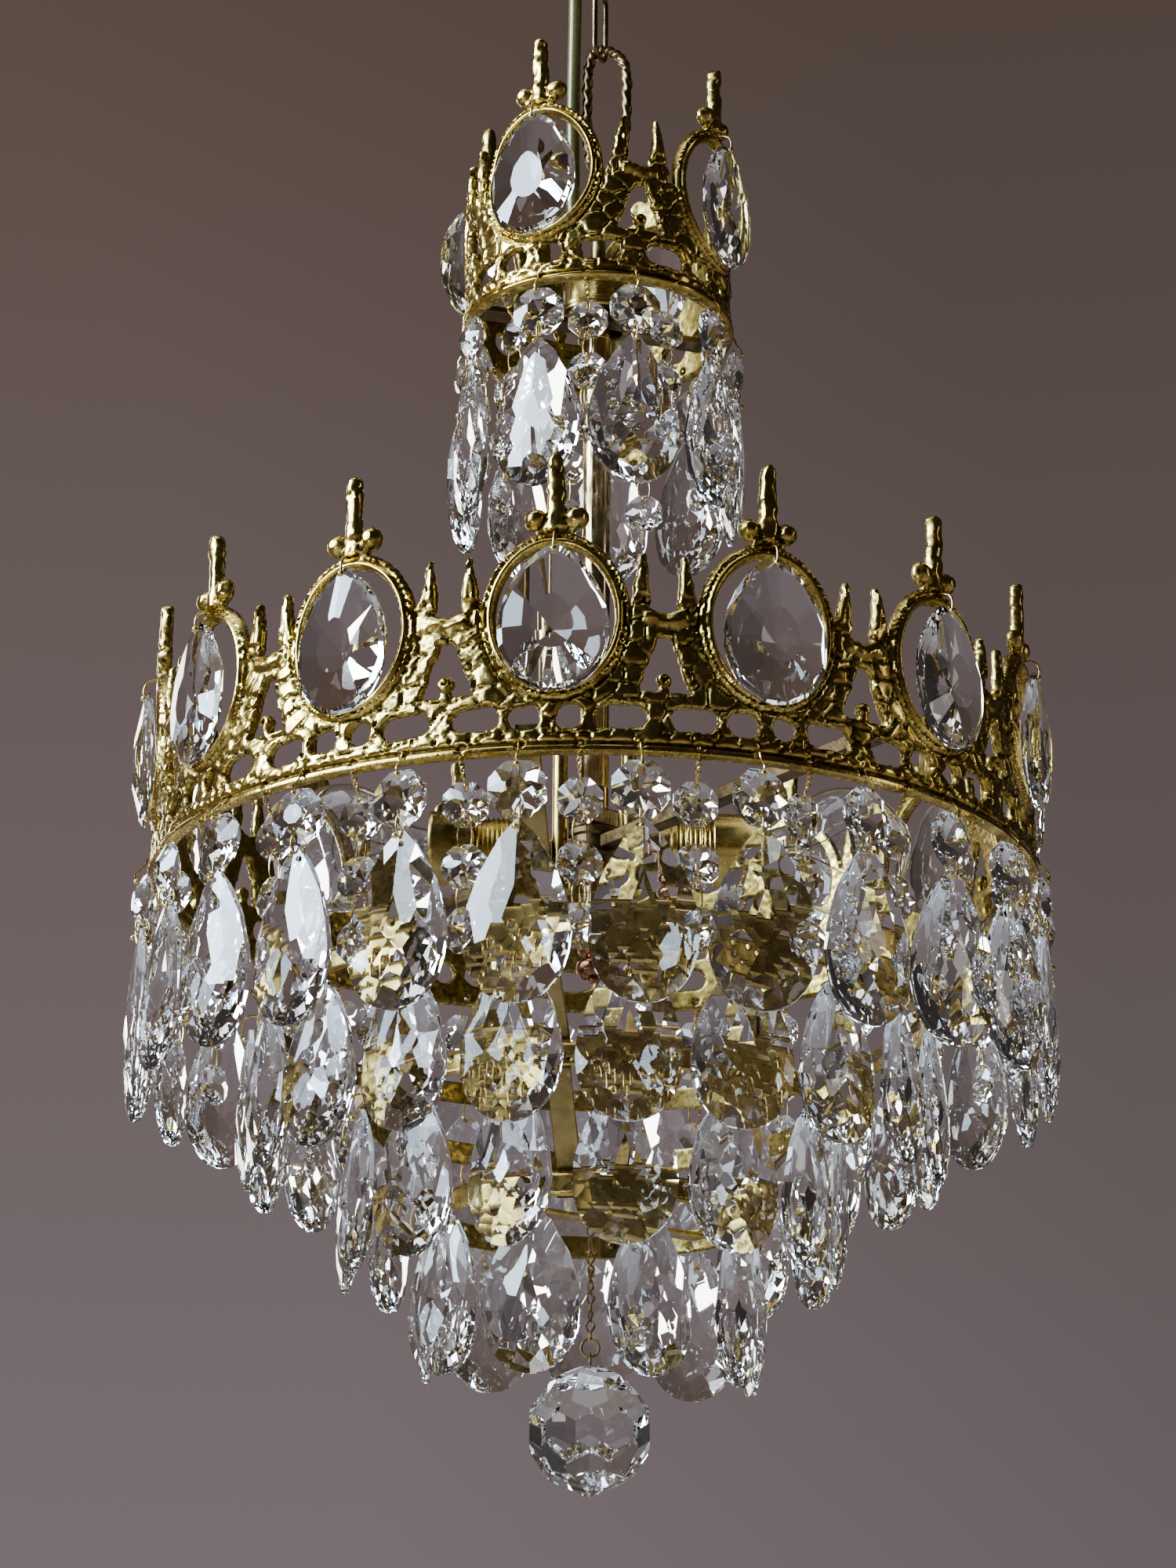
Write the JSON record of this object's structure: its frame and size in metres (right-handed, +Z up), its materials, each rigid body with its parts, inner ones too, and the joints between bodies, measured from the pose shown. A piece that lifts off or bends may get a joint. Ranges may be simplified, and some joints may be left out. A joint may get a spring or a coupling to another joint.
{
  "type": "crown crystal chandelier",
  "caption": "Petite crystal chandelier: two cast brass crowns on a stem, a stepped basket of cut drops, lamps inside and a cut ball below, hung by chain and flex.",
  "frame": {"origin": "centre of the ceiling plate's top face, where it meets the ceiling", "axes": "+Z up into the ceiling, out of the plate's top face; -Y is the side that faces the viewer and +X is to that viewer's right"},
  "size_m": [0.3176, 0.3188, 0.622],
  "materials": {
    "cast_brass": "polished cast brass with dark patina in the recesses",
    "rolled_brass": "satin rolled and turned brass",
    "chain_brass": "dull antique brass wire",
    "copper": "copper-toned turned brass",
    "crystal": "clear cut crystal",
    "bulb_glass": "thin clear lamp glass",
    "flex_sheath": "olive translucent sheath"
  },
  "bodies": {
    "ceiling": {"ceiling_plate": "rolled_brass", "ceiling_hook": "rolled_brass"},
    "chain": {"chain_link_upper": "chain_brass"},
    "chandelier": {"chain_link_lower": "chain_brass", "flex": "flex_sheath", "upper_crown": "cast_brass", "lower_crown": "cast_brass", "suspension_loop": "cast_brass", "stem_cap": "rolled_brass", "flex_grip": "rolled_brass", "upper_crossbar": "rolled_brass", "stem_tube": "rolled_brass", "hub_block": "rolled_brass", "lower_crossbar": "rolled_brass", "lamp_arm_left": "rolled_brass", "lamp_arm_right": "rolled_brass", "lampholder_left": "rolled_brass", "lampholder_right": "rolled_brass", "lamp_sleeve_left": "rolled_brass", "lamp_sleeve_right": "rolled_brass", "tier_band_1": "rolled_brass", "tier_band_2": "rolled_brass", "tier_band_3": "rolled_brass", "basket_strap_1": "rolled_brass", "basket_strap_2": "rolled_brass", "basket_strap_3": "rolled_brass", "basket_strap_4": "rolled_brass", "bottom_bar": "rolled_brass", "ball_hanger": "rolled_brass", "stem_lead": "flex_sheath", "stem_finial": "copper", "rim_strands_long": "crystal", "rim_strands_short": "crystal", "upper_strands_long": "crystal", "upper_strands_short": "crystal", "tier_pendants_1": "crystal", "tier_pendants_2": "crystal", "tier_pendants_3": "crystal"},
    "ball": {"crystal_ball": "crystal"},
    "bulb_left": {"bulb_left": "bulb_glass"},
    "bulb_right": {"bulb_right": "bulb_glass"},
    "window_01": {"window_pendant_01": "crystal"},
    "window_02": {"window_pendant_02": "crystal"},
    "window_03": {"window_pendant_03": "crystal"},
    "window_04": {"window_pendant_04": "crystal"},
    "window_05": {"window_pendant_05": "crystal"},
    "window_06": {"window_pendant_06": "crystal"},
    "window_07": {"window_pendant_07": "crystal"},
    "window_08": {"window_pendant_08": "crystal"},
    "window_09": {"window_pendant_09": "crystal"},
    "window_10": {"window_pendant_10": "crystal"},
    "window_11": {"window_pendant_11": "crystal"},
    "window_12": {"window_pendant_12": "crystal"},
    "window_13": {"window_pendant_13": "crystal"},
    "window_14": {"window_pendant_14": "crystal"},
    "upper_window_1": {"upper_window_pendant_1": "crystal"},
    "upper_window_2": {"upper_window_pendant_2": "crystal"},
    "upper_window_3": {"upper_window_pendant_3": "crystal"},
    "upper_window_4": {"upper_window_pendant_4": "crystal"}
  },
  "joints": [
    {"name": "chain_swing", "type": "hinge", "parent": "ceiling", "child": "chain", "pos_m": [0, 0, -0.0332], "axis": [0.4067, 0.9135, 0], "range_deg": [-12, 12]},
    {"name": "chandelier_swing", "type": "hinge", "parent": "chain", "child": "chandelier", "pos_m": [0, 0, -0.0604], "axis": [0.9135, -0.4067, 0], "range_deg": [-12, 12], "deforming": ["flex"]},
    {"name": "ball_swing", "type": "hinge", "parent": "chandelier", "child": "ball", "pos_m": [0, 0, -0.5779], "axis": [1, 0, 0], "range_deg": [-30, 30]},
    {"name": "bulb_left_screw", "type": "hinge", "parent": "chandelier", "child": "bulb_left", "pos_m": [-0.05, 0, -0.402], "axis": [-1, 0, 0], "range_deg": [0, 1080]},
    {"name": "bulb_right_screw", "type": "hinge", "parent": "chandelier", "child": "bulb_right", "pos_m": [0.05, 0, -0.402], "axis": [1, 0, 0], "range_deg": [0, 1080]},
    {"name": "window_01_swing", "type": "hinge", "parent": "chandelier", "child": "window_01", "pos_m": [-0.0128, -0.15246, -0.351], "axis": [-0.9965, 0.0837, 0], "range_deg": [0, 60]},
    {"name": "window_02_swing", "type": "hinge", "parent": "chandelier", "child": "window_02", "pos_m": [0.05462, -0.14292, -0.351], "axis": [-0.9341, -0.357, 0], "range_deg": [0, 60]},
    {"name": "window_03_swing", "type": "hinge", "parent": "chandelier", "child": "window_03", "pos_m": [0.11122, -0.10507, -0.351], "axis": [-0.6867, -0.7269, 0], "range_deg": [0, 60]},
    {"name": "window_04_swing", "type": "hinge", "parent": "chandelier", "child": "window_04", "pos_m": [0.14579, -0.04641, -0.351], "axis": [-0.3033, -0.9529, 0], "range_deg": [0, 60]},
    {"name": "window_05_swing", "type": "hinge", "parent": "chandelier", "child": "window_05", "pos_m": [0.15149, 0.02144, -0.351], "axis": [0.1402, -0.9901, 0], "range_deg": [0, 60]},
    {"name": "window_06_swing", "type": "hinge", "parent": "chandelier", "child": "window_06", "pos_m": [0.12718, 0.08505, -0.351], "axis": [0.5559, -0.8313, 0], "range_deg": [0, 60]},
    {"name": "window_07_swing", "type": "hinge", "parent": "chandelier", "child": "window_07", "pos_m": [0.07769, 0.13181, -0.351], "axis": [0.8615, -0.5078, 0], "range_deg": [0, 60]},
    {"name": "window_08_swing", "type": "hinge", "parent": "chandelier", "child": "window_08", "pos_m": [0.0128, 0.15246, -0.351], "axis": [0.9965, -0.0837, 0], "range_deg": [0, 60]},
    {"name": "window_09_swing", "type": "hinge", "parent": "chandelier", "child": "window_09", "pos_m": [-0.05462, 0.14292, -0.351], "axis": [0.9341, 0.357, 0], "range_deg": [0, 60]},
    {"name": "window_10_swing", "type": "hinge", "parent": "chandelier", "child": "window_10", "pos_m": [-0.11122, 0.10507, -0.351], "axis": [0.6867, 0.7269, 0], "range_deg": [0, 60]},
    {"name": "window_11_swing", "type": "hinge", "parent": "chandelier", "child": "window_11", "pos_m": [-0.14579, 0.04641, -0.351], "axis": [0.3033, 0.9529, 0], "range_deg": [0, 60]},
    {"name": "window_12_swing", "type": "hinge", "parent": "chandelier", "child": "window_12", "pos_m": [-0.15149, -0.02144, -0.351], "axis": [-0.1402, 0.9901, 0], "range_deg": [0, 60]},
    {"name": "window_13_swing", "type": "hinge", "parent": "chandelier", "child": "window_13", "pos_m": [-0.12718, -0.08505, -0.351], "axis": [-0.5559, 0.8313, 0], "range_deg": [0, 60]},
    {"name": "window_14_swing", "type": "hinge", "parent": "chandelier", "child": "window_14", "pos_m": [-0.07769, -0.13181, -0.351], "axis": [-0.8615, 0.5078, 0], "range_deg": [0, 60]},
    {"name": "upper_window_1_swing", "type": "hinge", "parent": "chandelier", "child": "upper_window_1", "pos_m": [-0.02252, -0.04419, -0.1365], "axis": [-0.891, 0.454, 0], "range_deg": [0, 60]},
    {"name": "upper_window_2_swing", "type": "hinge", "parent": "chandelier", "child": "upper_window_2", "pos_m": [0.04419, -0.02252, -0.1365], "axis": [-0.454, -0.891, 0], "range_deg": [0, 60]},
    {"name": "upper_window_3_swing", "type": "hinge", "parent": "chandelier", "child": "upper_window_3", "pos_m": [0.02252, 0.04419, -0.1365], "axis": [0.891, -0.454, 0], "range_deg": [0, 60]},
    {"name": "upper_window_4_swing", "type": "hinge", "parent": "chandelier", "child": "upper_window_4", "pos_m": [-0.04419, 0.02252, -0.1365], "axis": [0.454, 0.891, 0], "range_deg": [0, 60]}
  ]
}
